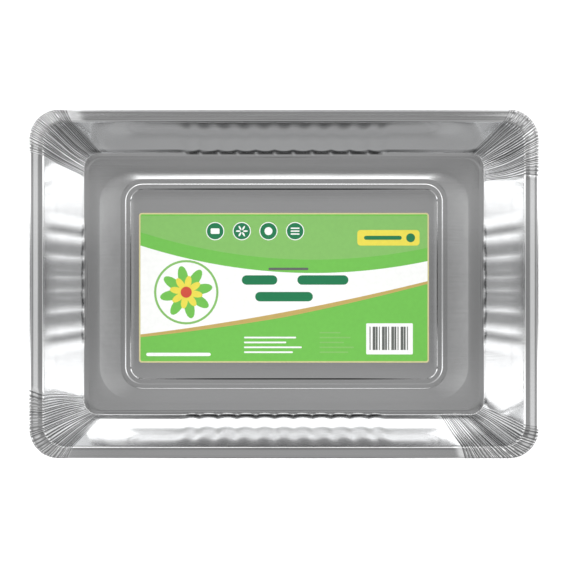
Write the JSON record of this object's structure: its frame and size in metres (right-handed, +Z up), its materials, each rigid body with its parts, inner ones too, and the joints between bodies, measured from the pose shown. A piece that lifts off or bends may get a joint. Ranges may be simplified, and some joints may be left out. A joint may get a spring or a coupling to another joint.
{
  "type": "foil roasting pan",
  "caption": "Rectangular pressed foil roasting pan with rolled rim, pleated corners, fluted walls, stepped floor panel and a printed label.",
  "frame": {"origin": "centre of the base, on the surface that the pan stands on", "axes": "+X along the pan's length, +Y across it, +Z up out of its mouth"},
  "size_m": [0.4136, 0.2833, 0.0613],
  "materials": {
    "foil": "bright pressed foil",
    "label": "glossy print"
  },
  "bodies": {
    "root": {"pan": "foil", "label": "label"}
  },
  "joints": []
}
